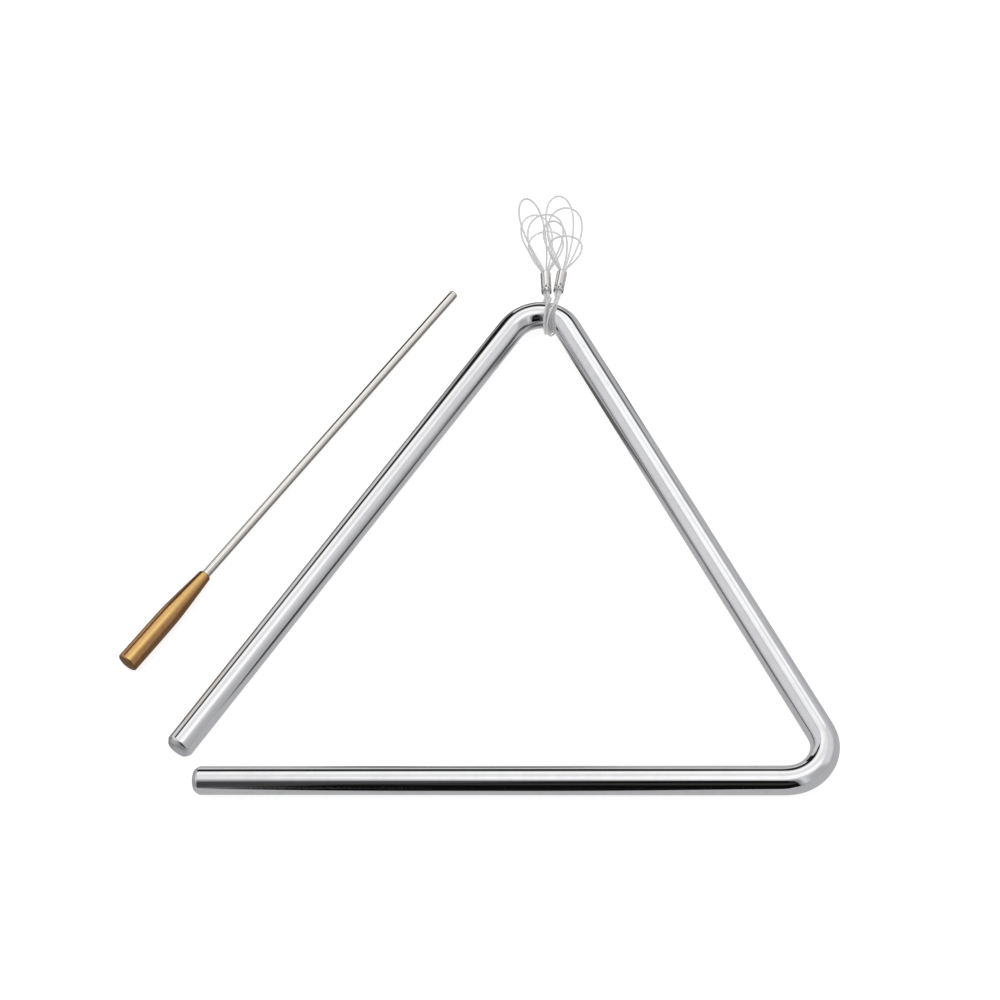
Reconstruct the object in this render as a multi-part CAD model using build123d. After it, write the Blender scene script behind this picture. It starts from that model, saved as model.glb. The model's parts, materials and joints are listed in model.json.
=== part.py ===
from build123d import *
from math import asin, cos, degrees, pi, radians, sin, sqrt, tan
import os
import numpy

# A triangle as it lies on a table: a bent bar with one open corner, two hanks of nylon line that hang it,
# and the beater beside it. Lengths are in millimetres and angles in degrees.
# The bar is drawn in its own plane first: X along the base, Y towards the top bend, Z up, with the
# base's centreline on Y = 0 and the bar's centre plane on Z = 0. It is then laid on the table.

# Bent bar
bar_diameter = 11.0
corner_side = 267.0  # between the sharp corners of the centreline
base_angle = 60.0
bend_radius = 13.4  # of the centreline
base_length = 250.5  # from the open end to the sharp right corner
leg_length = 252.0  # from the sharp top corner to the open end
end_chamfer = 1.9

# Nylon line and its turns round the top bend
line_diameter = 0.55
strand_gap = 0.5  # least room between neighbouring passes
turn_clearance = 0.2  # between the turns and the bar
suspension_offset = 4.2  # of the turns from the middle of the top bend, towards the right
surface_gap = 0.03  # under the lowest strand

# Crimp ferrules
pass_count = 8
ferrule_length = 10.0
ferrule_wall = 0.5
ferrule_clearance = 0.06  # between the passes and the bore
ferrule_lip = 0.2
ferrule_reach = 14.6  # of the mouth from the middle of the turns
ferrule_gap = 0.6  # between the two ferrules at their mouths
ferrule_shift = 0.6  # of the pair to the left of the turns
ferrule_drop = 2.8  # of the left ferrule below the bar's centre plane
left_ferrule_lean = -7.0
right_ferrule_lean = 5.0

# Loops above the ferrules, from the lowest to the highest
loop_length = 42.0
loop_width = 14.0
widest_share = 0.64  # of a loop's length, from the ferrule to its widest place
level_rises = (0.0, 9.0, 18.0, 23.5)  # above the lowest loop of the hank
right_rise = 4.5  # of the right hank's loops above the left's
right_lift_share = 0.56  # of the room a strand takes, by which the right ferrule stands higher
left_loop_leans = (-15.0, -3.4, -2.3, -16.6)
left_length_shares = (0.86, 0.52, 0.65, 0.82)
left_width_shares = (0.90, 1.00, 1.03, 0.64)
right_loop_leans = (-7.2, -0.3, 6.6, -12.4)
right_length_shares = (1.01, 0.75, 0.38, 0.53)
right_width_shares = (0.82, 1.00, 0.96, 0.66)

# Measuring the room between the strands
sample_share = 0.25  # of the line's diameter between two sampled points
apart_share = 4.0  # of the line's diameter along the line, before two points count as apart

# Beater
beater_length = 215.0
beater_rod_diameter = 3.6
tip_chamfer = 0.5
handle_length = 49.5
handle_diameter = 8.8
handle_straight = 28.0  # of full diameter, from the butt
handle_front_diameter = 5.2
butt_rounding = 1.2
front_rounding = 0.6
seat_depth = 22.0  # of the rod in the handle
seat_clearance = 0.02
beater_gap = 33.1  # between the left leg and the handle's butt
beater_along = 35.6  # of the butt from the sharp left corner, along the left leg
beater_turn = 2.0  # of the beater towards the leg

# What follows from these sizes
bar_radius = bar_diameter / 2
line_radius = line_diameter / 2
strand_pitch = line_diameter + strand_gap
top_angle = 180 - 2 * base_angle
top_height = corner_side / 2 * tan(radians(base_angle))
turns_per_hank = pass_count // 2 - 1
up = Vector(0, 0, 1)

left_corner = Vector(-corner_side / 2, 0, 0)
right_corner = Vector(corner_side / 2, 0, 0)
top_corner = Vector(0, top_height, 0)
leg_heading = (left_corner - top_corner).normalized()

# Middle of the turns on the bend, with the bar's tangent there and the way out of the bend
bend_centre = top_corner - Vector(0, bend_radius / sin(radians(top_angle / 2)), 0)
offset_angle = asin(suspension_offset / bend_radius)
outward = Vector(sin(offset_angle), cos(offset_angle), 0)
tangent = Vector(cos(offset_angle), -sin(offset_angle), 0)
pivot = bend_centre + outward * bend_radius

# The turns are rings about the tangent, so the outermost ones clear the inside of the bend
turns_half_span = (turns_per_hank - 0.5) * strand_pitch + line_radius
bend_inside = bend_radius - bar_radius
inside_reach = bend_radius - sqrt(bend_inside**2 - turns_half_span**2)
turn_radius = inside_reach + turn_clearance + line_radius

# The strands under the bend lift it a little off the table
lift = turn_radius + line_radius + surface_gap - bar_radius
tilt = degrees(asin(lift / pivot.Y))

# The passes stand in a ring inside the ferrule
pass_step = 360 / pass_count
pass_ring = strand_pitch / (2 * sin(radians(pass_step / 2)))
ferrule_bore = pass_ring + line_radius + ferrule_clearance
ferrule_radius = ferrule_bore + ferrule_wall
ferrule_side = ferrule_radius + ferrule_gap / 2


def table_under(y):
    """Height of the table's surface in the bar's own frame."""
    return -(bar_radius + y * sin(radians(tilt))) / cos(radians(tilt))


def biarc(start, start_heading, end, end_heading):
    """Two tangent arcs from one point and heading to another."""
    chord = end - start
    headings = start_heading + end_heading
    across = chord.dot(headings)
    spread = 2 * (1 - start_heading.dot(end_heading))
    reach = chord.dot(chord) / (across + sqrt(across**2 + spread * chord.dot(chord)))
    middle = (start + start_heading * reach + end - end_heading * reach) / 2
    first = Edge.make_tangent_arc(start, start_heading, middle)
    second = Edge.make_tangent_arc(middle, first % 1, end)
    return [first, second]


def strand(stations):
    """Straight runs and biarcs through stations, each a point and a heading."""
    edges = []
    for (start, start_heading), (end, end_heading) in zip(stations, stations[1:]):
        chord = (end - start).normalized()
        if chord.dot(start_heading) > 1 - 1e-9 and chord.dot(end_heading) > 1 - 1e-9:
            edges.append(Edge.make_line(start, end))
        else:
            edges.extend(biarc(start, start_heading, end, end_heading))
    return edges


def hank_stations(side, lean, leans, length_shares, width_shares):
    """Route of one hank: up through the ferrule, a loop, down, a turn round the bar, and so on."""
    axis = Vector(sin(radians(lean)), cos(radians(lean)), 0)
    across = Vector(cos(radians(lean)), -sin(radians(lean)), 0)
    is_right = (side + 1) / 2
    mouth_height = is_right * right_lift_share * strand_pitch - ferrule_drop
    mouth = pivot + Vector(side * ferrule_side - ferrule_shift, ferrule_reach, mouth_height)

    # The left hank's lowest loop reaches down to the table, and the right hank's loops lie between the left's
    floor_loop = loop_length * left_length_shares[0]
    floor_start = pivot.Z - ferrule_drop - pass_ring * cos(radians(pass_step / 2))
    floor_end = table_under(pivot.Y + ferrule_reach + ferrule_length + floor_loop) + line_radius + surface_gap
    lowest_rise = degrees(asin((floor_end - floor_start) / floor_loop)) + is_right * right_rise

    def pass_offset(index):
        angle = radians((index + 0.5) * pass_step)
        return across * cos(angle) * pass_ring + up * sin(angle) * pass_ring

    def near(index):
        return mouth + pass_offset(index) - axis * line_diameter

    def far(index):
        return mouth + pass_offset(index) + axis * (ferrule_length + line_diameter)

    def loop(level, first, last):
        rise = radians(lowest_rise + level_rises[level])
        turn = radians(leans[level] - lean)
        forward = axis * cos(rise) + up * sin(rise)
        out = forward * cos(turn) + across * sin(turn)
        aside = across * cos(turn) - forward * sin(turn)
        if pass_offset(first).dot(across) > 0:
            aside = aside * -1
        length = loop_length * length_shares[level]
        half_width = loop_width * width_shares[level] / 2
        root = mouth + axis * ferrule_length + up * pass_offset(first).Z
        widest = root + out * length * widest_share
        return [
            (far(first), axis),
            (widest - aside * half_width, out),
            (root + out * length, aside),
            (widest + aside * half_width, out * -1),
            (far(last), axis * -1),
        ]

    def turn(place, first, last):
        ring = pivot + tangent * ((side * turns_per_hank / 2 + place) * strand_pitch)
        over = 1 if pass_offset(first).Z > 0 else -1
        return [
            (near(first), axis * -1),
            (ring + up * turn_radius * over, outward * -1),
            (ring - outward * turn_radius, up * -over),
            (ring - up * turn_radius * over, outward),
            (near(last), axis),
        ]

    # Passes are numbered round the ferrule from its right side upwards
    start = mouth + pass_offset(2)
    end = mouth + pass_offset(4)
    stations = [(start, axis)]
    stations += loop(3, 2, 1) + turn(0, 1, 6)
    stations += loop(0, 6, 5) + turn(-1, 5, 3)
    stations += loop(2, 3, 0) + turn(1, 0, 7)
    stations += loop(1, 7, 4)
    stations.append((end, axis * -1))
    return mouth, axis, stations


def sampled(edges):
    """Points along the edges, close together, and their places along the line."""
    points = []
    places = []
    done = 0
    for edge in edges:
        count = int(edge.length / (line_diameter * sample_share)) + 1
        for step in range(count):
            points.append(tuple(edge @ (step / count)))
            places.append(done + edge.length * step / count)
        done += edge.length
    return numpy.array(points), numpy.array(places)


def least_gap(edges):
    """Least room between stretches of the line that are more than a few diameters apart along it."""
    points, places = sampled(edges)
    distance = numpy.linalg.norm(points[:, None] - points[None], axis=2)
    apart = numpy.abs(places[:, None] - places[None]) > line_diameter * apart_share
    return distance[apart].min() - line_diameter


def make_triangle_rod():
    base_start = right_corner - Vector(base_length, 0, 0)
    leg_end = top_corner + leg_heading * leg_length
    path = FilletPolyline(base_start, right_corner, top_corner, leg_end, radius=bend_radius)
    rod = sweep(Plane(origin=base_start, z_dir=(1, 0, 0)) * Circle(bar_radius), path=path)
    rims = rod.faces().filter_by(GeomType.PLANE).edges()
    return chamfer(rims, end_chamfer)


def make_line(name, stations):
    edges = strand(stations)
    start, heading = stations[0]
    line = sweep(Plane(origin=start, z_dir=heading) * Circle(line_radius), path=Wire(edges))
    length = sum(edge.length for edge in edges)
    radii = [edge.radius for edge in edges if edge.geom_type == GeomType.CIRCLE]
    print(name, "length", round(length, 1), "least bend radius", round(min(radii), 2),
          "least gap to itself", round(least_gap(edges), 3),
          "volume against section times length", round(line.volume / (length * pi * line_radius**2), 4))
    return line


def make_ferrule(mouth, axis):
    place = Plane(origin=mouth, z_dir=axis)
    sleeve = Cylinder(ferrule_radius, ferrule_length, align=(Align.CENTER, Align.CENTER, Align.MIN))
    sleeve -= Cylinder(ferrule_bore, ferrule_length, align=(Align.CENTER, Align.CENTER, Align.MIN))
    return place * fillet(sleeve.edges().filter_by(GeomType.CIRCLE), ferrule_lip)


def make_beater_rod():
    rod = Cylinder(beater_rod_diameter / 2, beater_length - handle_length + seat_depth,
                   align=(Align.CENTER, Align.CENTER, Align.MIN))
    rod = chamfer(rod.edges().sort_by(Axis.Z)[-1], tip_chamfer)
    return Pos(0, 0, handle_length - seat_depth) * rod


def make_beater_handle():
    outline = Polyline(
        (0, 0),
        (handle_diameter / 2, 0),
        (handle_diameter / 2, handle_straight),
        (handle_front_diameter / 2, handle_length),
        (0, handle_length),
        close=True,
    )
    grip = revolve(Plane.XZ * make_face(outline), Axis.Z)
    ends = grip.edges().filter_by(GeomType.CIRCLE).sort_by(Axis.Z)
    grip = fillet(ends[0], butt_rounding)
    grip = fillet(grip.edges().filter_by(GeomType.CIRCLE).sort_by(Axis.Z)[-1], front_rounding)
    bore = Cylinder(beater_rod_diameter / 2 + seat_clearance, seat_depth,
                    align=(Align.CENTER, Align.CENTER, Align.MIN))
    return grip - Pos(0, 0, handle_length - seat_depth) * bore


# The bar and what hangs on it tip about the base until the lowest strand is on the table
on_table = Pos(0, 0, bar_radius) * Rot(tilt, 0, 0)

# The beater lies on the handle's belly and on the rod's tip, beside the left leg
beater_dip = asin((handle_diameter - beater_rod_diameter) / 2 / (beater_length - handle_straight))
beside = beater_gap + bar_radius + handle_diameter / 2
leg_angle = base_angle - beater_turn
butt_place = left_corner - leg_heading * beater_along + Vector(leg_heading.Y, -leg_heading.X, 0) * beside
beater_heading = Vector(
    cos(radians(leg_angle)) * cos(beater_dip),
    sin(radians(leg_angle)) * cos(beater_dip),
    -sin(beater_dip),
)
butt_height = handle_diameter / 2 * cos(beater_dip) + handle_straight * sin(beater_dip)
beater_place = Plane(origin=Vector(butt_place.X, butt_place.Y, butt_height), z_dir=beater_heading)

left_mouth, left_axis, left_stations = hank_stations(
    -1, left_ferrule_lean, left_loop_leans, left_length_shares, left_width_shares
)
right_mouth, right_axis, right_stations = hank_stations(
    1, right_ferrule_lean, right_loop_leans, right_length_shares, right_width_shares
)

nodes = {
    "triangle_rod": on_table * make_triangle_rod(),
    "left_suspension_line": on_table * make_line("left line", left_stations),
    "right_suspension_line": on_table * make_line("right line", right_stations),
    "left_ferrule": on_table * make_ferrule(left_mouth, left_axis),
    "right_ferrule": on_table * make_ferrule(right_mouth, right_axis),
    "beater_rod": beater_place * make_beater_rod(),
    "beater_handle": beater_place * make_beater_handle(),
}

# The origin is on the table, under the middle of the bar's and the beater's common box
footprint = Compound([nodes["triangle_rod"], nodes["beater_rod"], nodes["beater_handle"]]).bounding_box()
to_origin = Pos(-footprint.center().X, -footprint.center().Y, 0)

os.makedirs("parts", exist_ok=True)
for name, node in nodes.items():
    export_step(to_origin * node, f"parts/{name}.step")

handle_middle = beater_place.origin + beater_heading * (handle_straight + butt_rounding) / 2
loops_top = left_mouth + left_axis * (ferrule_length + loop_length / 2)
print("turns' middle", (to_origin * on_table * Pos(pivot)).position)
print("turns' axis", tangent.rotate(Axis.X, tilt))
print("loops' middle", (to_origin * on_table * Pos(loops_top)).position)
print("handle's middle", (to_origin * Pos(handle_middle)).position)
print("beater's heading", beater_heading)
print("shift to the origin", to_origin.position, "tilt", round(tilt, 4))
for name, node in nodes.items():
    box = (to_origin * node).bounding_box()
    print(name, "box", box.min, box.max)
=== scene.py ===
import json
from math import cos, radians, sin

import bpy
import numpy as np
from mathutils import Matrix, Vector


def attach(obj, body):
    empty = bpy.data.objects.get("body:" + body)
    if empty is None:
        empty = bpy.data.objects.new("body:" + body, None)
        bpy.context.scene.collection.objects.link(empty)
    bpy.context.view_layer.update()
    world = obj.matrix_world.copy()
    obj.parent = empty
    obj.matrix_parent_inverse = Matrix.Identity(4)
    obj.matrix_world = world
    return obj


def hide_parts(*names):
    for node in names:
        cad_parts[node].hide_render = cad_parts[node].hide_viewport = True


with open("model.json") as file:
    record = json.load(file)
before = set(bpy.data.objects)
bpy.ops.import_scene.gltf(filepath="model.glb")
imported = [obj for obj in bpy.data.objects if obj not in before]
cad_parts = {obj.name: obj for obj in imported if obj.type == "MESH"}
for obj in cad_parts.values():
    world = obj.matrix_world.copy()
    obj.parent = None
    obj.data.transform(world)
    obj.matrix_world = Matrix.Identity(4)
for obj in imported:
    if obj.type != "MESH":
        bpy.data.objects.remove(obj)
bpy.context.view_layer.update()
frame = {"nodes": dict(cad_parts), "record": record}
scene = bpy.context.scene
scene.view_settings.view_transform = "Standard"
print("frame loaded:", ", ".join(sorted(frame["nodes"])))

mm = 0.001
upward = np.array([0.0, 0.0, 1.0])

# how the bar's own plane lies on the table (mm, degrees)
tableLay = {"shift": (13.5133, -114.916), "lift": 5.5, "tilt": 0.3513}


def turnToTable(vectors):
    # rotation about X by the tilt
    lean = radians(tableLay["tilt"])
    turn = np.array([[1, 0, 0], [0, cos(lean), -sin(lean)], [0, sin(lean), cos(lean)]])
    return np.asarray(vectors, float) @ turn.T


def layOnTable(points):
    # turned by the tilt, lifted by the bar's radius, moved to the origin, in metres
    return (turnToTable(points) + np.array([*tableLay["shift"], tableLay["lift"]])) * mm


# camera, found from the bar's edges in the photograph
photoCamera = {
    "aim": (4.36, 12.0, 5.5), "distance": 1214.98,
    "azimuth": 18.541, "elevation": 54.763, "roll": -16.313,
    "lens": 109.476, "sensor": 36.0, "nearest": 10.0,
}


def placeCamera(spec):
    az, el = radians(spec["azimuth"]), radians(spec["elevation"])
    back = Vector((sin(az) * cos(el), -cos(az) * cos(el), sin(el)))
    data = bpy.data.cameras.new("photoCamera")
    data.lens, data.sensor_width = spec["lens"], spec["sensor"]
    data.clip_start = spec["nearest"] * mm
    camera = bpy.data.objects.new("photoCamera", data)
    scene.collection.objects.link(camera)
    level = (-back).to_track_quat("-Z", "Y").to_matrix().to_4x4()
    place = Vector(spec["aim"]) * mm + back * spec["distance"] * mm
    roll = Matrix.Rotation(radians(spec["roll"]), 4, "Z")
    camera.matrix_world = Matrix.Translation(place) @ level @ roll
    scene.camera = camera


placeCamera(photoCamera)
print("camera placed")


# nylon hanks: sizes in mm, angles in degrees; each visit goes up one pass of the sleeve,
# round one loop and down another pass, and passes are numbered round the sleeve
# from its right side upwards
hankSpec = {
    "lineDiameter": 0.8, "strandPitch": 0.88, "passes": 8, "passInset": 0.5,
    "visits": ((2, 3, 1), (6, 0, 5), (3, 2, 0), (7, 1, 4)),
    "cornerSide": 267.0, "bendRadius": 13.4, "offset": 4.2,
    "turnRadius": 6.05, "bunchAlong": (0.0, -0.85, 0.85), "bunchOut": (0.0, 0.82, 1.64),
    "turnAngles": (90.0, 120.0, 150.0, 180.0, 235.0, 270.0), "stackEnds": (-0.8, -0.5),
    "approachShares": (0.22, 0.42, 0.62, 0.82), "climbHaste": 1.12, "asideHaste": 1.5, "asideDelay": 4,
    "ferruleLength": 10.0, "ferruleRadius": 2.207, "ferruleBore": 1.707, "ferruleGap": 0.6,
    "ferruleReach": 14.6, "ferruleShift": 0.6, "ferruleDrop": 2.8, "rightLift": 0.588,
    "loopEase": 5.0, "bulgePower": 1.3, "lowestRise": -4.2, "rightRise": 4.5,
    "levelRises": (0.0, 9.0, 18.0, 23.5),
    "loopPoints": 15, "ringPoints": 15, "splineSteps": 5, "girthSteps": 3,
}
# each hank's own lean, loops from the lowest to the highest, places round the bar,
# and its line's whole length in metres
leftHank = {
    "side": -1, "lean": -7.0, "length": 0.5147,
    "leans": (-15.0, -3.4, -2.3, -16.6),
    "lengths": (36.1, 21.8, 27.3, 34.4),
    "widths": (12.6, 14.0, 14.4, 9.0),
    "turnPlaces": (-0.9, 0.0, 0.4, 0.4, -0.25, -0.25), "turnLean": 0.2,
}
rightHank = {
    "side": 1, "lean": 5.0, "length": 0.5032,
    "leans": (-7.2, -0.3, 6.6, -12.4),
    "lengths": (42.4, 31.5, 16.0, 22.3),
    "widths": (11.5, 14.0, 13.4, 9.2),
    "turnPlaces": (1.7, 1.6, 1.4, 1.4, 2.3, 2.3), "turnLean": 0.36,
}


def hankPlace(hank):
    # the bend's middle, its tangent and outward way, and the ferrule's mouth, axis and breadth
    spec = hankSpec
    bend = spec["bendRadius"]
    beta = np.arcsin(spec["offset"] / bend)
    outward = np.array([np.sin(beta), np.cos(beta), 0.0])
    tangent = np.array([np.cos(beta), -np.sin(beta), 0.0])
    top = np.array([0.0, spec["cornerSide"] * np.sqrt(3) / 2 - 2 * bend, 0.0])
    pivot = top + outward * bend
    lean = radians(hank["lean"])
    axis = np.array([sin(lean), cos(lean), 0.0])
    across = np.array([cos(lean), -sin(lean), 0.0])
    aside = hank["side"] * (spec["ferruleRadius"] + spec["ferruleGap"] / 2) - spec["ferruleShift"]
    height = (spec["rightLift"] if hank["side"] > 0 else 0.0) - spec["ferruleDrop"]
    mouth = pivot + np.array([aside, spec["ferruleReach"], height])
    return pivot, tangent, outward, mouth, axis, across


def smooth(share):
    return share * share * (3 - 2 * share)


def hankRoute(hank):
    # one line from end to end: up the ferrule, a loop, down again, a turn round the bar, and so on
    spec = hankSpec
    pivot, tangent, outward, mouth, axis, across = hankPlace(hank)
    passStep = 360 / spec["passes"]
    ringRadius = spec["strandPitch"] / (2 * sin(radians(passStep / 2)))
    free, long, inset = spec["lineDiameter"], spec["ferruleLength"], spec["passInset"]
    reach = np.array([-free, inset, long - inset, long + free])[:, None]

    def passOffset(index):
        angle = radians((index + 0.5) * passStep)
        return ringRadius * (across * cos(angle) + upward * sin(angle))

    def climb(index):
        return mouth + passOffset(index) + axis * reach

    def loop(level, first):
        # a drop shape: its length goes as sine squared, its half width as a power of sine times cosine,
        # and its lean and rise come in over the first few millimetres
        length, width = hank["lengths"][level], hank["widths"][level]
        higher = spec["rightRise"] if hank["side"] > 0 else 0
        rise = radians(spec["lowestRise"] + spec["levelRises"][level] + higher)
        turn = radians(hank["leans"][level] - hank["lean"])
        v = np.linspace(0, np.pi, spec["loopPoints"] + 2)[1:-1]
        power = spec["bulgePower"]
        widest = np.arctan(np.sqrt(1 + power))
        bulge = np.sin(v) ** (1 + power) * np.cos(v) / (np.sin(widest) ** (1 + power) * np.cos(widest))
        along = free + (length - free) * np.sin(v) ** 2
        ease = along / (along + spec["loopEase"]) * (length + spec["loopEase"]) / length
        start = passOffset(first) @ across
        aside = start * np.cos(v) + np.sign(start) * width / 2 * bulge
        forward = along * cos(turn) - aside * sin(turn) * ease
        lateral = along * ease * sin(turn) + aside * cos(turn)
        root = mouth + axis * long + upward * passOffset(first)[2]
        climbing = (forward * ease * sin(rise))[:, None] * upward
        return root + (forward * cos(rise))[:, None] * axis + lateral[:, None] * across + climbing

    def turnRound(place, first, last):
        # half a ring round the inside of the bend, and an easy S from the ferrule to it on each side;
        # the turns lie side by side under the bar and come to lie on each other, leaning a little, above it
        over = 1.0 if passOffset(first)[2] > 0 else -1.0
        phi = np.linspace(np.pi / 2, 3 * np.pi / 2, spec["ringPoints"])
        low, high = spec["stackEnds"]
        above = smooth(np.clip((over * np.sin(phi) - low) / (high - low), 0, 1))
        stacked = spec["bunchOut"][place] * above
        fromTop = phi if over > 0 else 2 * np.pi - phi
        middle = np.interp(fromTop, np.radians(spec["turnAngles"]), hank["turnPlaces"])
        along = middle + hank["turnLean"] * stacked + spec["bunchAlong"][place] * (1 - above)
        # on the inside the bar comes nearer by the square of the way along it
        nearer = along**2 / (2 * spec["bendRadius"]) * np.maximum(0, -np.cos(phi))
        control = (spec["turnRadius"] + stacked + nearer) / np.cos((phi[1] - phi[0]) / 2)
        around = np.cos(phi)[:, None] * outward + over * np.sin(phi)[:, None] * upward
        half = pivot + along[:, None] * tangent + control[:, None] * around
        share = np.array(spec["approachShares"])

        def approach(index, way, place, radius):
            near = mouth + passOffset(index) - axis * free - pivot - tangent * place
            n, t, z = near @ outward, near @ tangent, near[2]
            up = z + (way * radius - z) * smooth(np.minimum(1, spec["climbHaste"] * share))
            early, late = smooth(np.minimum(1, spec["asideHaste"] * share)), share ** spec["asideDelay"]
            aside = place + t * (1 - (early if way > 0 else late))
            flat = (n * (1 - share))[:, None] * outward + aside[:, None] * tangent
            return pivot + flat + up[:, None] * upward

        start = approach(first, over, along[0], spec["turnRadius"] + stacked[0])
        end = approach(last, -over, along[-1], spec["turnRadius"] + stacked[-1])
        return np.concatenate([start, half, end[::-1]])

    visits = spec["visits"]
    route = []
    for place, (goUp, level, comeDown) in enumerate(visits):
        route += [climb(goUp), loop(level, goUp), climb(comeDown)[::-1]]
        if place < len(visits) - 1:
            route.append(turnRound(place, comeDown, visits[place + 1][0]))
    # both ends of the line stop at the mouth
    route[0][0], route[-1][-1] = mouth + passOffset(visits[0][0]), mouth + passOffset(visits[-1][2])
    route[0][1] += axis * free
    route[-1][-2] += axis * free
    return layOnTable(np.concatenate(route))


def layLine(name, hank):
    points = hankRoute(hank)
    data = bpy.data.curves.new(name, "CURVE")
    data.dimensions = "3D"
    data.resolution_u = hankSpec["splineSteps"]
    data.bevel_depth = 1.0  # times the points' radius
    data.bevel_resolution = hankSpec["girthSteps"]
    data.use_fill_caps = True
    spline = data.splines.new("NURBS")
    spline.points.add(len(points) - 1)
    spline.points.foreach_set("co", np.column_stack([points, np.ones(len(points))]).ravel())
    spline.points.foreach_set("radius", np.full(len(points), hankSpec["lineDiameter"] / 2 * mm))
    spline.order_u = 3
    spline.use_endpoint_u = True
    line = bpy.data.objects.new(name, data)
    scene.collection.objects.link(line)
    return line, points[0]


leftLine, leftStart = layLine("leftNylonHank", leftHank)
rightLine, rightStart = layLine("rightNylonHank", rightHank)
print("nylon hanks laid")


def wrappedSurface(name, grid, along, around, poles=None, marks=None):
    # grid of rows by sides, closed round each row; its ends close in poles, or its last row meets its first
    rows, sides = grid.shape[:2]
    index = np.arange(rows * sides).reshape(rows, sides)
    if poles is None:
        low, high = index, np.roll(index, -1, axis=0)
        nextAlong = np.roll(along, -1)
    else:
        low, high = index[:-1], index[1:]
        along, nextAlong = along[:-1], along[1:]
    ahead = np.roll(low, -1, axis=1), np.roll(high, -1, axis=1)
    quads = np.stack([low, ahead[0], ahead[1], high], axis=-1).reshape(-1, 4)
    lowU, highU = [np.broadcast_to(u[:, None], low.shape) for u in (along, nextAlong)]
    leftV, rightV = [np.broadcast_to(v, low.shape) for v in (around[:-1], around[1:])]
    uv = np.stack([lowU, leftV, lowU, rightV, highU, rightV, highU, leftV], axis=-1).reshape(-1, 2)
    vertices = grid.reshape(-1, 3)
    faces = quads.tolist()
    if poles is not None:
        count = len(vertices)
        vertices = np.concatenate([vertices, np.asarray(poles)])
        nextStart, nextEnd = np.roll(index[0], -1), np.roll(index[-1], -1)
        startFan = np.stack([np.full(sides, count), nextStart, index[0]], axis=-1)
        endFan = np.stack([np.full(sides, count + 1), index[-1], nextEnd], axis=-1)
        faces += startFan.tolist() + endFan.tolist()
        startU, endU = np.full(sides, along[0]), np.full(sides, nextAlong[-1])
        startUv = np.stack([startU, around[:-1], startU, around[1:], startU, around[:-1]], axis=-1)
        endUv = np.stack([endU, around[:-1], endU, around[:-1], endU, around[1:]], axis=-1)
        uv = np.concatenate([uv, startUv.reshape(-1, 2), endUv.reshape(-1, 2)])
    mesh = bpy.data.meshes.new(name)
    mesh.from_pydata(vertices.tolist(), [], faces)
    mesh.uv_layers.new(name="lengthAndGirth").data.foreach_set("uv", uv.ravel())
    if marks is not None:
        mask = np.broadcast_to(marks.reshape(rows, -1), (rows, sides)).ravel()
        if poles is not None:
            mask = np.concatenate([mask, [mask[0], mask[-1]]])
        mesh.attributes.new("endFaceAndShade", "FLOAT", "POINT").data.foreach_set("value", mask)
    mesh.shade_smooth()
    mesh.update()
    piece = bpy.data.objects.new(name, mesh)
    scene.collection.objects.link(piece)
    return piece


circlePower = 2.0  # makes softCorner a quarter circle


def softCorner(size, power, count):
    # corner of a superellipse: depth from the end face and step in from the full radius
    a = np.linspace(0, np.pi / 2, count)
    return size * (1 - np.cos(a) ** (2 / power)), size * (1 - np.sin(a) ** (2 / power))


def bevelledCorner(size, rounding, count, straightShares=(0.3, 1.0)):
    # a chamfer between two arcs, one at the end face and one at the side,
    # then two rings, at shares of the side's arc, that keep the side straight
    along, inward = size
    faceArc, sideArc = rounding
    slope = np.arctan2(along, inward)
    onFace = inward + faceArc * np.tan(slope / 2)
    onSide = along + sideArc * np.tan((np.pi / 2 - slope) / 2)
    faceTurn, sideTurn = np.linspace(0, slope, count), np.linspace(slope, np.pi / 2, count)
    facePart = faceArc * (1 - np.cos(faceTurn)), onFace - faceArc * np.sin(faceTurn)
    sidePart = onSide - sideArc * np.cos(sideTurn), sideArc * (1 - np.sin(sideTurn))
    between = [[(face[-1] + side[0]) / 2] for face, side in zip(facePart, sidePart)]
    straight = onSide + sideArc * np.array(straightShares)
    depth = np.concatenate([facePart[0], between[0], sidePart[0], straight])
    inset = np.concatenate([facePart[1], between[1], sidePart[1], 0 * straight])
    return depth, inset


def turnedGrid(origin, heading, reach, radius, sides):
    # a profile of reach and radius turned about a line, with its seam underneath
    heading = np.asarray(heading) / np.linalg.norm(heading)
    first = np.cross(upward, heading)
    first /= np.linalg.norm(first)
    second = np.cross(heading, first)
    phi = np.linspace(0, 2 * np.pi, sides + 1) - np.pi / 2
    spread = np.cos(phi[:-1])[:, None] * first + np.sin(phi[:-1])[:, None] * second
    grid = np.asarray(origin) + reach[:, None, None] * heading + radius[..., None] * spread
    return grid, phi


# bent bar, in mm and degrees
barSpec = {
    "diameter": 11.0, "cornerSide": 267.0, "bendRadius": 13.4, "bendTurn": 120.0, "bendEasing": 6.0,
    "baseLength": 250.5, "legLength": 252.0, "lineStep": 0.05,
    "chamfer": (2.1, 1.5), "chamferRounding": (1.5, 1.3), "dullFrom": (0.15, 0.4),
    "faceShares": (0.12, 0.4, 0.7, 0.93), "cornerRings": 9,
    "sides": 112, "straightRings": 46, "bendRings": 90,
}


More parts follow.
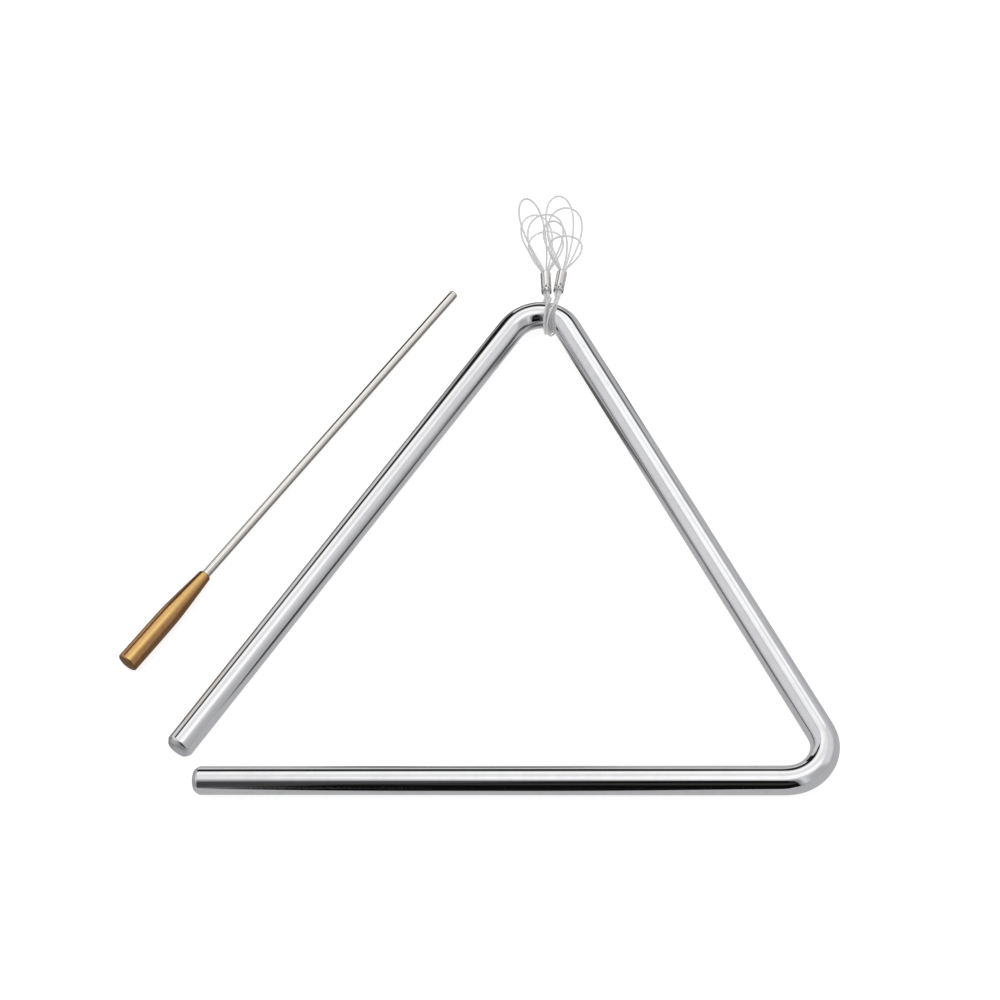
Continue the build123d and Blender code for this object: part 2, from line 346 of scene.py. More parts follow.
def makeBar(spec):
    # a circle carried along the bar's line; the line's heading climbs by the same turn in each bend,
    # eased in and out by a moving average, and the line is the running sum of its headings
    radius, bend, turn = spec["diameter"] / 2, spec["bendRadius"], radians(spec["bendTurn"])
    tangentLength = bend * np.tan(turn / 2)
    arc = bend * turn
    straights = np.array([
        spec["baseLength"] - tangentLength,
        spec["cornerSide"] - 2 * tangentLength,
        spec["legLength"] - tangentLength,
    ])
    knots = np.cumsum([0, straights[0], arc, straights[1], arc, straights[2]])
    step = spec["lineStep"]
    fine = np.arange(0, knots[-1] + step, step)
    heading = np.interp(fine, knots, turn * np.array([0, 0, 1, 1, 2, 2]))
    window = int(spec["bendEasing"] / step)
    padded = np.pad(heading, window, mode="edge")
    heading = np.convolve(padded, np.ones(window) / window, mode="same")[window:-window]
    middle = (heading[1:] + heading[:-1]) / 2
    startX = spec["cornerSide"] / 2 - spec["baseLength"]
    lineX = startX + np.concatenate([[0], np.cumsum(np.cos(middle)) * step])
    lineY = np.concatenate([[0], np.cumsum(np.sin(middle)) * step])

    depth, inset = bevelledCorner(spec["chamfer"], spec["chamferRounding"], spec["cornerRings"])
    faceRadii = (radius - inset[0]) * np.array(spec["faceShares"])
    total, ease = knots[-1], spec["bendEasing"] * np.array([-1, 1, -1, 1])
    stops = [depth[-1], *(knots[1:-1] + ease), total - depth[-1]]
    counts = [spec["straightRings"], spec["bendRings"]] * 2 + [spec["straightRings"]]
    stretches = zip(stops, stops[1:], counts)
    body = np.concatenate([np.linspace(start, end, count)[1:] for start, end, count in stretches])[:-1]
    corner = radius - inset
    s = np.concatenate([0 * faceRadii, depth, body, (total - depth)[::-1], 0 * faceRadii + total])
    r = np.concatenate([faceRadii, corner, body * 0 + radius, corner[::-1], faceRadii[::-1]])
    onFace = np.interp(radius - r, spec["dullFrom"], (0, 1))
    h = np.interp(s, fine, heading)
    centre = np.stack([np.interp(s, fine, lineX), np.interp(s, fine, lineY), 0 * s], axis=-1)
    normal = np.stack([-np.sin(h), np.cos(h), 0 * h], axis=-1)
    phi = np.linspace(0, 2 * np.pi, spec["sides"] + 1) - np.pi / 2  # the seam is underneath
    sideways, rising = np.cos(phi[:-1])[None, :, None], np.sin(phi[:-1])[None, :, None]
    grid = centre[:, None, :] + r[:, None, None] * (sideways * normal[:, None, :] + rising * upward)
    return wrappedSurface(
        "bentBar", layOnTable(grid.reshape(-1, 3)).reshape(grid.shape), s * mm, phi * radius * mm,
        poles=layOnTable(centre[[0, -1]]), marks=onFace,
    )


bar = makeBar(barSpec)
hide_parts("triangle_rod")
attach(bar, "triangle")
print("bent bar made")


# beater, in mm along it from the handle's butt; shares are of a radius
gripMount = next(m for m in frame["record"]["mounts"] if m["name"] == "beater_grip")
beaterSpec = {
    "gripMiddle": 14.6, "length": 215.0, "rodDiameter": 3.6, "tipChamfer": 0.5, "tipPower": 1.3,
    "handleLength": 49.5, "handleDiameter": 8.8, "handleStraight": 28.0, "frontDiameter": 5.2,
    "shoulderEase": 5.0, "buttRounding": 1.3, "frontRounding": 0.6, "buttDome": 0.35,
    "seatDepth": 22.0, "seatClearance": 0.02,
    "mouthInset": 0.65, "mouthEase": (0.12, 0.03), "mouthDepth": 0.1,
    "buttShares": (0.15, 0.4, 0.65, 0.85, 0.96), "bottomShare": 0.5,
    "rootShares": (0.4, 0.9), "tipShares": (0.95, 0.7, 0.3),
    "handleSides": 96, "buttRings": 14, "gripRings": 90, "frontRings": 8, "seatRings": 12,
    "rodSides": 48, "rodRings": 60, "tipRings": 8,
}
beaterHeading = -np.array(gripMount["axis"], float)
beaterHeading /= np.linalg.norm(beaterHeading)
beaterButt = np.array(gripMount["pos_m"]) - beaterHeading * beaterSpec["gripMiddle"] * mm


def makeHandle(spec):
    # turned profile: a domed butt, a straight grip, a soft shoulder and a straight taper,
    # then the seat of the rod
    full, front, long = spec["handleDiameter"] / 2, spec["frontDiameter"] / 2, spec["handleLength"]
    rounding, dome, sides = spec["buttRounding"], spec["buttDome"], spec["handleSides"]
    slope = (full - front) / (long - spec["handleStraight"])

    def taper(s):
        past = s - spec["handleStraight"]
        ease = spec["shoulderEase"]
        return full - slope * (past + np.sqrt(past**2 + ease**2)) / 2

    depth, inset = softCorner(rounding, circlePower, spec["buttRings"])
    buttShare = np.array(spec["buttShares"])
    side = np.linspace(rounding, long - spec["frontRounding"], spec["gripRings"])[1:]
    frontDepth, frontInset = softCorner(spec["frontRounding"], circlePower, spec["frontRings"])
    seat = spec["rodDiameter"] / 2 + spec["seatClearance"]
    bottom = long - spec["seatDepth"]
    mouth = [front - spec["mouthInset"], *(seat + np.array(spec["mouthEase"]))]
    s = np.concatenate([
        dome * buttShare**2, dome + depth * (1 - dome / rounding), side,
        (long - frontDepth)[::-1][1:], np.full(len(mouth), long),
        np.linspace(long - spec["mouthDepth"], bottom, spec["seatRings"]), [bottom],
    ])
    r = np.concatenate([
        (full - rounding) * buttShare, taper(0 * depth) - inset, taper(side),
        (taper(long) - frontInset)[::-1][1:], mouth,
        np.full(spec["seatRings"], seat), [seat * spec["bottomShare"]],
    ])
    radii = np.broadcast_to(r[:, None], (len(r), sides))
    grid, phi = turnedGrid(beaterButt, beaterHeading, s * mm, radii * mm, sides)
    ends = beaterButt + np.array([[0.0], [bottom * mm]]) * beaterHeading
    onFace = np.where(s < rounding, 1 - s / rounding, 0.0)
    return wrappedSurface("brassHandle", grid, s * mm, phi * full * mm, poles=ends, marks=onFace)


def makeBeaterRod(spec):
    # a plain rod with a small soft chamfer at its tip
    radius, long, tip, sides = spec["rodDiameter"] / 2, spec["length"], spec["tipChamfer"], spec["rodSides"]
    start = spec["handleLength"] - spec["seatDepth"]
    depth, inset = softCorner(tip, spec["tipPower"], spec["tipRings"])
    rootRadii = radius * np.array(spec["rootShares"])
    tipRadii = (radius - tip) * np.array(spec["tipShares"])
    body = np.linspace(start, long - tip, spec["rodRings"])
    s = np.concatenate([0 * rootRadii + start, body, (long - depth)[::-1][1:], 0 * tipRadii + long])
    r = np.concatenate([rootRadii, body * 0 + radius, (radius - inset)[::-1][1:], tipRadii])
    radii = np.broadcast_to(r[:, None], (len(r), sides))
    grid, phi = turnedGrid(beaterButt, beaterHeading, s * mm, radii * mm, sides)
    ends = beaterButt + np.array([[start], [long]]) * mm * beaterHeading
    onFace = np.where(s > long - tip / 2, 1.0, 0.0)
    return wrappedSurface("steelBeaterRod", grid, s * mm, phi * radius * mm, poles=ends, marks=onFace)


handle = makeHandle(beaterSpec)
beaterRod = makeBeaterRod(beaterSpec)
beaterPieces = ((handle, "beater_handle", "turned_brass"), (beaterRod, "beater_rod", "beater_steel"))
for piece, node, slotName in beaterPieces:
    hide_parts(node)
    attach(piece, "beater")
print("beater made")


# crimp sleeves, in mm and degrees; leanTurn starts the dents of the two sleeves at different places
ferruleSpec = {
    "lip": 0.2, "crimpDepth": 0.07, "crimpSpread": 3.2, "crimpPower": 4,
    "dents": 14, "dentTurn": 137.5, "leanTurn": 9, "dentFrom": 0.4, "dentRise": 0.2,
    "dentDepth": 0.33, "dentHalf": (0.5, 0.42),
    "sides": 128, "lipRings": 6, "wallRings": 100,
}


def makeFerrule(name, hank):
    # a tube's rounded wall section turned about the sleeve's axis; the crimp presses two flats into
    # its outside, and the pliers' teeth leave bell-shaped dents that wind up its lower end
    # by the golden angle
    spec = ferruleSpec
    mouth, axis = hankPlace(hank)[3:5]
    long, outer, bore = [hankSpec["ferrule" + size] for size in ("Length", "Radius", "Bore")]
    lip = spec["lip"]
    depth, inset = softCorner(lip, circlePower, spec["lipRings"])
    wall = np.linspace(lip, long - lip, spec["wallRings"])[1:-1]
    s = np.concatenate([depth, wall, (long - depth)[::-1], long - depth, wall[::-1], depth[::-1]])
    r = np.concatenate([
        outer - inset, wall * 0 + outer, (outer - inset)[::-1],
        bore + inset, wall * 0 + bore, (bore + inset)[::-1],
    ])
    isOuter = np.concatenate([np.ones(len(s) // 2), np.zeros(len(s) - len(s) // 2)])
    phi = np.linspace(0, 2 * np.pi, spec["sides"] + 1)[:-1] - np.pi / 2
    fromMiddle = (s - long / 2) / spec["crimpSpread"]
    crimp = spec["crimpDepth"] * np.exp(-(fromMiddle ** spec["crimpPower"])) * isOuter
    radius = r[:, None] - crimp[:, None] * (0.5 + 0.5 * np.cos(2 * phi))[None, :]
    order = np.arange(spec["dents"])
    turned = phi[:, None] - np.radians(order * spec["dentTurn"] + hank["lean"] * spec["leanTurn"])
    aside = outer * (np.mod(turned + np.pi, 2 * np.pi) - np.pi) / spec["dentHalf"][1]
    up = (s[:, None] - spec["dentFrom"] - order * spec["dentRise"]) / spec["dentHalf"][0]
    dents = np.exp(-up[:, None, :] ** 2 - aside[None] ** 2).max(axis=-1) * isOuter[:, None]
    radius = radius - spec["dentDepth"] * dents
    origin = layOnTable(mouth[None])[0]
    grid, phi = turnedGrid(origin, turnToTable(axis[None])[0], s * mm, radius * mm, spec["sides"])
    # the bore and the dents take the near-black face colour: painted shade inside the tube and in the
    # dents' hollows
    dullAndShaded = np.maximum(1 - isOuter[:, None], dents)
    return wrappedSurface(name, grid, s * mm, phi * outer * mm, marks=dullAndShaded)


leftFerrule = makeFerrule("leftCrimpSleeve", leftHank)
rightFerrule = makeFerrule("rightCrimpSleeve", rightHank)
hankPieces = (
    (leftLine, leftFerrule, "left", leftStart, leftHank),
    (rightLine, rightFerrule, "right", rightStart, rightHank),
)
for line, ferrule, which, start, hank in hankPieces:
    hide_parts(which + "_suspension_line")
    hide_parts(which + "_ferrule")
    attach(line, "suspension")
    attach(ferrule, "suspension")
print("sleeves made")


# shader helpers
def addNode(tree, kind, inputs=None, **settings):
    node = tree.nodes.new(kind)
    for name, value in settings.items():
        setattr(node, name, value)
    for name, value in (inputs or {}).items():
        if isinstance(value, bpy.types.NodeSocket):
            tree.links.new(value, node.inputs[name])
        else:
            node.inputs[name].default_value = value
    return node


def calc(tree, operation, first, second=0.0):
    return addNode(tree, "ShaderNodeMath", {0: first, 1: second}, operation=operation).outputs[0]


def softStep(tree, value, low, high):
    inputs = {"Value": value, "From Min": low, "From Max": high}
    return addNode(tree, "ShaderNodeMapRange", inputs, interpolation_type="SMOOTHSTEP").outputs[0]


def newGroup(name, inputs, outputs):
    group = bpy.data.node_groups.new(name, "ShaderNodeTree")
    for label, kind, value in inputs:
        socket = group.interface.new_socket(label, in_out="INPUT", socket_type=kind)
        if value is not None:
            socket.default_value = value
    for label, kind in outputs:
        group.interface.new_socket(label, in_out="OUTPUT", socket_type=kind)
    return group, group.nodes.new("NodeGroupInput").outputs, group.nodes.new("NodeGroupOutput").inputs


def makeStreakGroup():
    # lines drawn out along one way of the surface: noise on unevenly stretched length and girth
    group, given, wanted = newGroup(
        "drawnStreaks",
        [("Vector", "NodeSocketVector", None), ("Stretch", "NodeSocketVector", (20.0, 2500.0, 1.0)),
         ("Detail", "NodeSocketFloat", 3.0)],
        [("Lines", "NodeSocketFloat")],
    )
    factors = {0: given["Vector"], 1: given["Stretch"]}
    stretched = addNode(group, "ShaderNodeVectorMath", factors, operation="MULTIPLY").outputs[0]
    noise = addNode(
        group, "ShaderNodeTexNoise", {"Vector": stretched, "Scale": 1.0, "Detail": given["Detail"]}
    )
    group.links.new(noise.outputs["Fac"], wanted["Lines"])
    return group


def makeSmudgeGroup():
    # dull patches of handling: broad noise times finer noise, cut off softly
    finerBy, cutFrom, cutTo = 5.5, 0.16, 0.4
    group, given, wanted = newGroup(
        "handlingSmudges",
        [("Vector", "NodeSocketVector", None), ("Scale", "NodeSocketFloat", 40.0)],
        [("Patches", "NodeSocketFloat")],
    )
    broad = addNode(
        group, "ShaderNodeTexNoise",
        {"Vector": given["Vector"], "Scale": given["Scale"], "Detail": 4.0, "Roughness": 0.6},
    )
    finer = calc(group, "MULTIPLY", given["Scale"], finerBy)
    fine = addNode(group, "ShaderNodeTexNoise", {"Vector": given["Vector"], "Scale": finer, "Detail": 3.0})
    both = calc(group, "MULTIPLY", broad.outputs["Fac"], fine.outputs["Fac"])
    group.links.new(softStep(group, both, cutFrom, cutTo), wanted["Patches"])
    return group


streakGroup = makeStreakGroup()
smudgeGroup = makeSmudgeGroup()


def placeGroup(tree, group, inputs):
    return addNode(tree, "ShaderNodeGroup", inputs, node_tree=group).outputs[0]


def newMaterial(name, settings):
    material = bpy.data.materials.new(name)
    material.use_nodes = True
    tree = material.node_tree
    shader = tree.nodes["Principled BSDF"]
    for socket, value in settings.items():
        shader.inputs[socket].default_value = value
    return material, tree, shader


def mixColours(tree, factor, first, second):
    inputs = {0: factor}
    for place, colour in ((6, first), (7, second)):
        inputs[place] = colour if isinstance(colour, bpy.types.NodeSocket) else (*colour, 1.0)
    return addNode(tree, "ShaderNodeMix", inputs, data_type="RGBA").outputs[2]


def mixValues(tree, factor, first, second):
    inputs = {"Value": factor, "To Min": first, "To Max": second}
    return addNode(tree, "ShaderNodeMapRange", inputs).outputs[0]


def metalFinish(name, look):
    # bare metal: drawn or turned lines in the polish, a slow waviness, dull handling patches,
    # plainer cut ends, and where a look asks for it a painted highlight, a brighter stripe along one side
    lineHeight, waveHeight = 0.02 * mm, 0.2 * mm
    material, tree, shader = newMaterial(name, {"Metallic": 1.0})
    uv = addNode(tree, "ShaderNodeUVMap", uv_map="lengthAndGirth").outputs[0]
    place = addNode(tree, "ShaderNodeTexCoord").outputs["Object"]
    lines = placeGroup(tree, streakGroup, {"Vector": uv, "Stretch": look["lineStretch"]})
    waves = placeGroup(tree, streakGroup, {"Vector": uv, "Stretch": look["waveStretch"], "Detail": 1.0})
    patches = placeGroup(tree, smudgeGroup, {"Vector": place, "Scale": look["patchScale"]})
    # the end faces take a plainer colour and roughness; on the sleeves the same mask covers the bore and
    # the dents, and their near-black colour there is painted shade
    face = addNode(tree, "ShaderNodeAttribute", attribute_name="endFaceAndShade").outputs["Fac"]
    body = mixColours(tree, patches, look["colour"], look["patchColour"])
    if "paintedHighlight" in look:
        # painted highlight: a brighter stripe along one side, where the main light's reflection falls,
        # broken up by the lines
        paintedHighlight = look["paintedHighlight"]
        girth = addNode(tree, "ShaderNodeSeparateXYZ", {0: uv}).outputs[1]
        apart = calc(tree, "ABSOLUTE", calc(tree, "SUBTRACT", girth, paintedHighlight["girth"] * mm))
        stripe = softStep(tree, apart, paintedHighlight["half"][1] * mm, paintedHighlight["half"][0] * mm)
        highlightMask = calc(tree, "MULTIPLY", stripe, mixValues(tree, lines, 1.0, paintedHighlight["least"]))
        body = mixColours(tree, highlightMask, body, paintedHighlight["colour"])
    lined = mixColours(tree, calc(tree, "MULTIPLY", lines, look["lineShare"]), body, look["lineColour"])
    tree.links.new(mixColours(tree, face, lined, look["faceAndShadeColour"]), shader.inputs["Base Color"])
    rough = mixValues(tree, patches, *look["roughness"])
    tree.links.new(mixValues(tree, face, rough, look["faceRoughness"]), shader.inputs["Roughness"])
    lineBump = addNode(
        tree, "ShaderNodeBump", {"Strength": look["lineBump"], "Distance": lineHeight, "Height": lines}
    ).outputs[0]
    waveBump = addNode(
        tree, "ShaderNodeBump",
        {"Strength": look["waveBump"], "Distance": waveHeight, "Height": waves, "Normal": lineBump},
    ).outputs[0]
    tree.links.new(waveBump, shader.inputs["Normal"])
    return material


barChrome = metalFinish("polishedChrome", {
    "colour": (0.87, 0.872, 0.885), "patchColour": (0.82, 0.822, 0.835), "lineColour": (0.74, 0.745, 0.76),
    "lineShare": 0.22, "faceAndShadeColour": (0.72, 0.725, 0.74),
    "roughness": (0.04, 0.08), "faceRoughness": 0.55, "patchScale": 45.0,
    "lineStretch": (25.0, 2200.0, 1.0), "waveStretch": (18.0, 120.0, 1.0),
    "lineBump": 0.05, "waveBump": 0.05,
})
rodSteel = metalFinish("beaterSteel", {
    "colour": (0.95, 0.92, 0.875), "patchColour": (0.89, 0.855, 0.81), "lineColour": (0.76, 0.72, 0.675),
    "lineShare": 0.3, "faceAndShadeColour": (0.78, 0.75, 0.71),
    "roughness": (0.04, 0.08), "faceRoughness": 0.2, "patchScale": 90.0,
    "lineStretch": (30.0, 3500.0, 1.0), "waveStretch": (30.0, 250.0, 1.0),
    "lineBump": 0.06, "waveBump": 0.02,
})
handleBrass = metalFinish("turnedBrass", {
    "colour": (0.66, 0.36, 0.155), "patchColour": (0.56, 0.285, 0.12), "lineColour": (0.44, 0.225, 0.09),
    "lineShare": 0.3, "faceAndShadeColour": (0.50, 0.265, 0.105),
    # the brighter stripe along the handle's top is a painted highlight
    "paintedHighlight": {"girth": 8.5, "half": (0.35, 2.1), "least": 0.7, "colour": (0.92, 0.63, 0.235)},
    "roughness": (0.17, 0.25), "faceRoughness": 0.24, "patchScale": 120.0,
    "lineStretch": (5200.0, 40.0, 1.0), "waveStretch": (420.0, 30.0, 1.0),
    "lineBump": 0.15, "waveBump": 0.015,
})
sleeveMetal = metalFinish("crimpedSleeve", {
    "colour": (0.90, 0.885, 0.865), "patchColour": (0.82, 0.80, 0.78), "lineColour": (0.72, 0.70, 0.68),
    # near black: painted shade for the bore and the dents
    "lineShare": 0.25, "faceAndShadeColour": (0.12, 0.115, 0.11),
    "roughness": (0.07, 0.12), "faceRoughness": 0.5, "patchScale": 260.0,
    "lineStretch": (120.0, 4200.0, 1.0), "waveStretch": (120.0, 300.0, 1.0),
    "lineBump": 0.02, "waveBump": 0.008,
})


def nylonFinish(look):
    # clear line with a slight milkiness that comes and goes along it
    # and a painted glow, a little light of its own standing in for what passes through it
    material, tree, shader = newMaterial("clearNylon", {
        "IOR": 1.53, "Alpha": look["cover"],
        "Emission Color": (1.0, 1.0, 1.0, 1.0), "Emission Strength": look["paintedGlow"],
    })
    place = addNode(tree, "ShaderNodeTexCoord").outputs["Object"]
    patches = placeGroup(tree, smudgeGroup, {"Vector": place, "Scale": look["patchScale"]})
    tree.links.new(mixColours(tree, patches, look["colour"], look["milky"]), shader.inputs["Base Color"])
    tree.links.new(mixValues(tree, patches, *look["roughness"]), shader.inputs["Roughness"])
    return material


nylon = nylonFinish({
    # the emission strength is a painted glow
    "colour": (0.90, 0.895, 0.89), "milky": (0.86, 0.855, 0.85), "cover": 0.9, "paintedGlow": 0.055,
    "roughness": (0.2, 0.35), "patchScale": 160.0,
})

finishes = (
    (bar, barChrome), (beaterRod, rodSteel), (handle, handleBrass),
    (leftFerrule, sleeveMetal), (rightFerrule, sleeveMetal), (leftLine, nylon), (rightLine, nylon),
)
for piece, material in finishes:
    piece.data.materials.append(material)
print("finishes made")


# floor: white to the camera with a faint shadow; its reflection shows a grey table with a black card in
# front and patches of painted shade beside and inside the legs, each laid from a point along a way across
# the floor (mm)
topCorner, baseLine = (13.5, 116.3), (0.0, -114.9)
leftInward, rightInward, baseInward = (0.866, -0.5), (-0.866, -0.5), (0.0, 1.0)
floorSpec = {
    "half": 4000.0, "glow": 0.82, "shade": (0.45, 0.45, 0.45), "table": (0.48, 0.48, 0.49),
    "cardsAndPaintedShade": {
        "front": {
            "from": baseLine, "way": (0.0, -1.0), "near": (14.0, 21.0), "far": (4100.0, 4200.0),
            "ends": (-112.0, -98.0, 104.0, 118.0), "bow": 30.0, "bowPower": 4.0, "fan": 600.0,
            "colour": (0.005, 0.005, 0.005),
        },
        # painted shade: darker patches of floor beside and inside the legs, seen only in the chrome,
        # standing in for the shade round the legs and the apex
        "painted shade outside left": {
            "from": topCorner, "way": (-0.866, 0.5), "near": (4.0, 8.0), "far": (70.0, 110.0),
            "ends": (-400.0, -380.0, 380.0, 400.0), "colour": (0.20, 0.20, 0.20),
        },
        "painted shade inside left": {
            "from": topCorner, "way": leftInward, "near": (21.0, 27.0), "far": (55.0, 85.0),
            "ends": (-225.0, -200.0, -20.0, 0.0), "colour": (0.12, 0.12, 0.12),
        },
        "painted shade inside top": {
            "from": topCorner, "way": rightInward, "near": (9.0, 14.0), "far": (24.0, 34.0),
            "ends": (0.0, 8.0, 22.0, 44.0), "colour": (0.10, 0.10, 0.10),
            "clear": ((topCorner, leftInward, (7.0, 12.0)),),
        },
        "painted shade inside right": {
            "from": topCorner, "way": rightInward, "near": (50.0, 75.0), "far": (140.0, 190.0),
            "ends": (0.0, 20.0, 230.0, 262.0), "colour": (0.06, 0.06, 0.06),
            "clear": ((topCorner, leftInward, (16.0, 26.0)), (baseLine, baseInward, (22.0, 42.0))),
        },
    },
}


def makeFloor(spec):
    half = spec["half"] * mm
    corners = [(-half, -half, 0), (half, -half, 0), (half, half, 0), (-half, half, 0)]
    mesh = bpy.data.meshes.new("floor")
    mesh.from_pydata(corners, [], [(0, 1, 2, 3)])
    floor = bpy.data.objects.new("floor", mesh)
    scene.collection.objects.link(floor)
    material = bpy.data.materials.new("paleFloor")
    material.use_nodes = True
    tree = material.node_tree
    tree.nodes.clear()
    ray = addNode(tree, "ShaderNodeLightPath").outputs
    place = addNode(tree, "ShaderNodeTexCoord").outputs["Object"]

    def measure(way):
        # distance from the frame's origin along one way of the floor, in mm
        factors = {0: place, 1: (way[0] / mm, way[1] / mm, 0)}
        return addNode(tree, "ShaderNodeVectorMath", factors, operation="DOT_PRODUCT").outputs["Value"]

    def between(run, edges):
        start, end = softStep(tree, run, edges[0], edges[1]), softStep(tree, run, edges[3], edges[2])
        return calc(tree, "MULTIPLY", start, end)

    table = addNode(tree, "ShaderNodeRGB").outputs[0]
    table.default_value = (*spec["table"], 1)
    for name, card in spec["cardsAndPaintedShade"].items():
        # few nodes a card, since one shader holds only so many values at once
        way, aside = np.array(card["way"]), np.array([-card["way"][1], card["way"][0]])
        edges = [float(edge + way @ card["from"]) for edge in (*card["near"], *card["far"])]
        ends = [float(edge + aside @ card["from"]) for edge in card["ends"]]
        away, beside = measure(way), measure(aside)
        if "fan" in card:
            # it widens steadily with the distance
            widening = calc(tree, "ADD", away, card["fan"] - float(way @ card["from"]))
            beside = calc(tree, "DIVIDE", calc(tree, "MULTIPLY", beside, card["fan"]), widening)
        if "bow" in card:
            # the near edge bows back towards its ends by a power of the share of the way there
            middle, span = (ends[1] + ends[2]) / 2, (ends[2] - ends[1]) / 2
            offset = calc(tree, "SUBTRACT", beside, middle)
            share = calc(tree, "ABSOLUTE", calc(tree, "DIVIDE", offset, span))
            bowed = calc(tree, "MULTIPLY", calc(tree, "POWER", share, card["bowPower"]), card["bow"])
            away = calc(tree, "SUBTRACT", away, bowed)
        mask = calc(tree, "MULTIPLY", between(away, edges), between(beside, ends))
        for start, side, fade in card.get("clear", ()):
            # it keeps clear of another side of the triangle
            first, second = [float(edge + np.dot(side, start)) for edge in fade]
            mask = calc(tree, "MULTIPLY", mask, softStep(tree, measure(side), first, second))
        # each mask lays the black card or a patch of painted shade on the reflected table
        table = mixColours(tree, mask, table, card["colour"])
        table.node.label = name
    reflected = addNode(tree, "ShaderNodeEmission", {"Color": table}).outputs[0]
    lit = addNode(tree, "ShaderNodeBsdfDiffuse", {"Color": (*spec["shade"], 1)}).outputs[0]
    glow = addNode(tree, "ShaderNodeEmission", {"Color": (1, 1, 1, 1), "Strength": spec["glow"]}).outputs[0]
    seen = addNode(tree, "ShaderNodeAddShader")
    tree.links.new(lit, seen.inputs[0])
    tree.links.new(glow, seen.inputs[1])
    both = addNode(tree, "ShaderNodeMixShader", {0: ray["Is Glossy Ray"]})
    tree.links.new(seen.outputs[0], both.inputs[1])
    tree.links.new(reflected, both.inputs[2])
    output = addNode(tree, "ShaderNodeOutputMaterial")
    tree.links.new(both.outputs[0], output.inputs["Surface"])
    mesh.materials.append(material)


makeFloor(floorSpec)
print("floor laid")


# studio round the object: pale walls with soft panels; azimuth 0 is +Y, 90 is +X, in degrees;
# a panel with an elevation stands on a wall, one with a middle hangs overhead on a level sheet
studioSpec = {
    "walls": (0.735, 0.735, 0.75), "horizon": (0.42, 0.42, 0.43), "wallsFrom": 28.0, "lowestSheet": 0.08,
    "panels": {
        "right corner": {
            "azimuth": 120.0, "elevation": 20.0, "half": (22.0, 36.0),
            "power": 6.0, "soft": 0.35, "colour": (0.46, 0.46, 0.47),
        },
        "front wall": {
            "azimuth": 197.0, "elevation": 10.0, "half": (42.0, 52.0),
            "power": 6.0, "soft": 0.15, "colour": (0.29, 0.29, 0.295),
        },
        "backdrop": {
            "azimuth": -22.0, "elevation": 11.0, "half": (30.0, 15.0),
            "power": 6.0, "soft": 0.2, "colour": (0.70, 0.70, 0.70),
        },
        "right backdrop": {
            "azimuth": 32.0, "elevation": 9.0, "half": (18.0, 16.0),
            "power": 4.0, "soft": 0.3, "colour": (0.56, 0.56, 0.575),
        },
        "left skirting": {
            "azimuth": -87.0, "elevation": 1.0, "half": (28.0, 5.0),
            "power": 4.0, "soft": 0.4, "colour": (0.06, 0.06, 0.06),
        },
        "main light": {
            "azimuth": -25.0, "middle": (0.17, 0.28), "half": (0.46, 0.67),
            "power": 6.0, "soft": 0.11, "colour": (0.89, 0.885, 0.88),
        },
        "light frame": {
            "azimuth": -25.0, "middle": (-0.31, 0.6), "half": (0.03, 0.45),
            "power": 4.0, "soft": 0.5, "colour": (0.50, 0.50, 0.51),
        },
        "near streak": {
            "azimuth": -25.0, "middle": (0.12, -0.10), "half": (0.44, 0.22),
            "power": 4.0, "soft": 0.3, "colour": (1.14, 1.14, 1.14),
        },
        "far streak": {
            "azimuth": -25.0, "middle": (0.10, 0.72), "half": (0.26, 0.20),
            "power": 4.0, "soft": 0.4, "colour": (1.12, 1.12, 1.11),
        },
        "right light": {
            "azimuth": 13.0, "elevation": 38.0, "half": (16.0, 8.0),
            "power": 4.0, "soft": 0.2, "colour": (1.12, 1.12, 1.12),
        },
        "left gap": {
            "azimuth": -23.0, "elevation": 28.0, "half": (18.0, 11.0),
            "power": 4.0, "soft": 0.25, "tilt": -0.25, "colour": (0.012, 0.012, 0.012),
        },
        "right gap": {
            "azimuth": 5.0, "elevation": 25.0, "half": (20.0, 8.5),
            "power": 4.0, "soft": 0.3, "tilt": -0.45, "colour": (0.02, 0.02, 0.02),
        },
        "sleeve gap": {
            "azimuth": -41.0, "elevation": 38.0, "half": (4.5, 7.5),
            "power": 3.0, "soft": 0.35, "colour": (0.04, 0.04, 0.04),
        },
        "back post": {
            "azimuth": -31.5, "elevation": 14.0, "half": (5.0, 20.0),
            "power": 4.0, "soft": 0.25, "colour": (0.012, 0.012, 0.012),
        },
        "card margin": {
            "azimuth": 189.0, "elevation": 16.0, "half": (20.0, 42.0),
            "power": 4.0, "soft": 0.1, "colour": (0.065, 0.065, 0.065),
        },
        "black card": {
            "azimuth": 187.0, "elevation": 16.0, "half": (8.4, 42.0),
            "power": 6.0, "soft": 0.07, "colour": (0.004, 0.004, 0.004),
        },
        "card tip": {
            "azimuth": 174.0, "elevation": -6.0, "half": (14.0, 58.0),
            "power": 2.0, "soft": 0.1, "colour": (0.004, 0.004, 0.004),
        },
        "card sheen": {
            "azimuth": 183.0, "elevation": 32.0, "half": (16.0, 8.0),
            "power": 2.0, "soft": 0.5, "colour": (0.04, 0.038, 0.036),
        },
    },
}


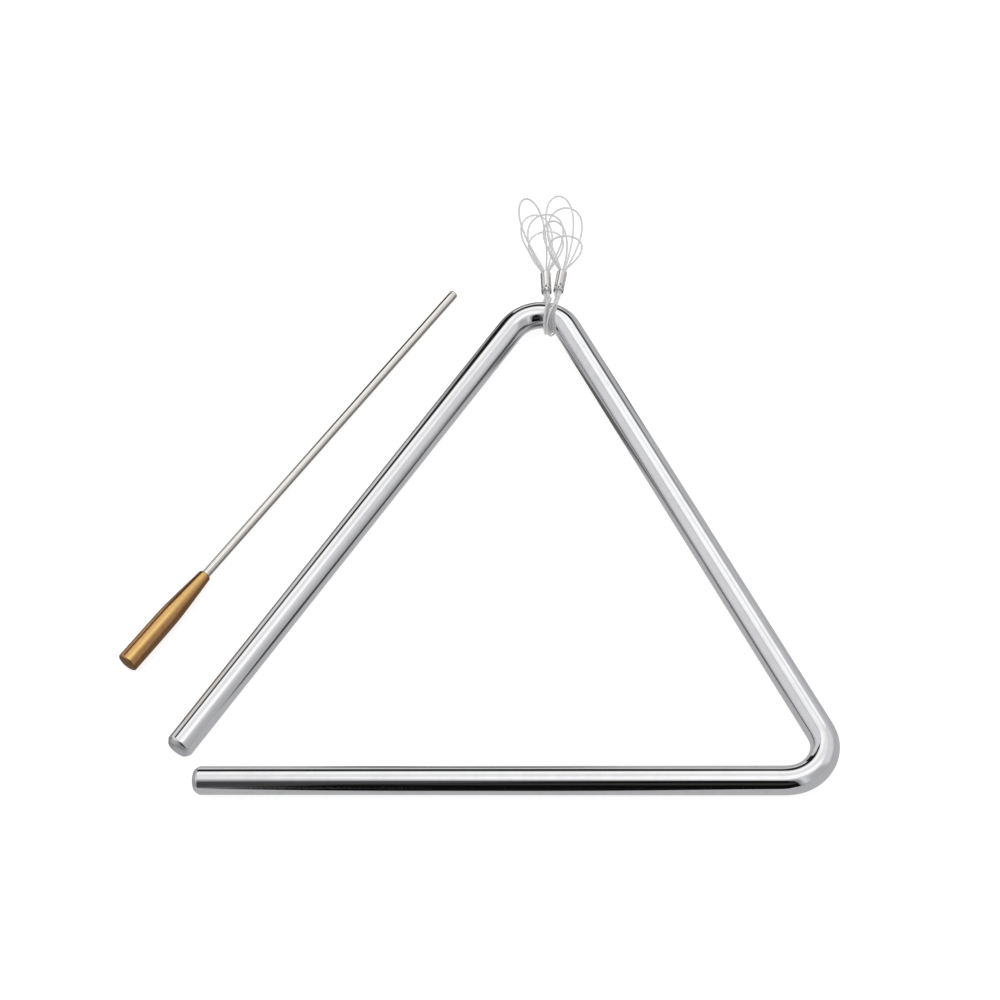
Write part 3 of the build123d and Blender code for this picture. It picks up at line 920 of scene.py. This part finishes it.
def makeStudio(spec):
    world = bpy.data.worlds.new("studio")
    scene.world = world
    world.use_nodes = True
    tree = world.node_tree
    tree.nodes.clear()
    ray = addNode(tree, "ShaderNodeTexCoord").outputs["Generated"]
    way = addNode(tree, "ShaderNodeVectorMath", {0: ray}, operation="NORMALIZE").outputs[0]
    height = addNode(tree, "ShaderNodeSeparateXYZ", {0: way}).outputs[2]
    elevation = calc(tree, "DEGREES", calc(tree, "ARCSINE", height))
    rising = softStep(tree, elevation, 0.0, spec["wallsFrom"])
    colour = mixColours(tree, rising, spec["horizon"], spec["walls"])
    for name, panel in spec["panels"].items():
        # a panel is a superellipse
        inputs = {"Vector": way, "Angle": radians(panel["azimuth"])}
        turned = addNode(tree, "ShaderNodeVectorRotate", inputs, rotation_type="Z_AXIS").outputs[0]
        x, y, z = addNode(tree, "ShaderNodeSeparateXYZ", {0: turned}).outputs
        if "elevation" in panel:
            first = calc(tree, "DEGREES", calc(tree, "ARCTAN2", x, y))
            second = calc(tree, "SUBTRACT", elevation, panel["elevation"])
            if "tilt" in panel:
                second = calc(tree, "SUBTRACT", second, calc(tree, "MULTIPLY", first, panel["tilt"]))
        else:
            # flatter rays count as meeting the sheet no further off than this
            above = calc(tree, "MAXIMUM", z, spec["lowestSheet"])
            first = calc(tree, "SUBTRACT", calc(tree, "DIVIDE", x, above), panel["middle"][0])
            second = calc(tree, "SUBTRACT", calc(tree, "DIVIDE", y, above), panel["middle"][1])
        powers = [
            calc(tree, "POWER", calc(tree, "ABSOLUTE", calc(tree, "DIVIDE", value, size)), panel["power"])
            for value, size in zip((first, second), panel["half"])
        ]
        reach = calc(tree, "POWER", calc(tree, "ADD", *powers), 1 / panel["power"])
        mask = softStep(tree, reach, 1 + panel["soft"], 1 - panel["soft"])
        colour = mixColours(tree, mask, colour, panel["colour"])
        colour.node.label = name
    studio = addNode(tree, "ShaderNodeBackground", {"Color": colour}).outputs[0]
    backdrop = addNode(tree, "ShaderNodeBackground", {"Color": (1, 1, 1, 1), "Strength": 1.0}).outputs[0]
    seen = addNode(tree, "ShaderNodeLightPath").outputs["Is Camera Ray"]
    both = addNode(tree, "ShaderNodeMixShader", {0: seen})
    tree.links.new(studio, both.inputs[1])
    tree.links.new(backdrop, both.inputs[2])
    output = addNode(tree, "ShaderNodeOutputWorld")
    tree.links.new(both.outputs[0], output.inputs["Surface"])


makeStudio(studioSpec)
print("studio lit")

bpy.context.view_layer.update()
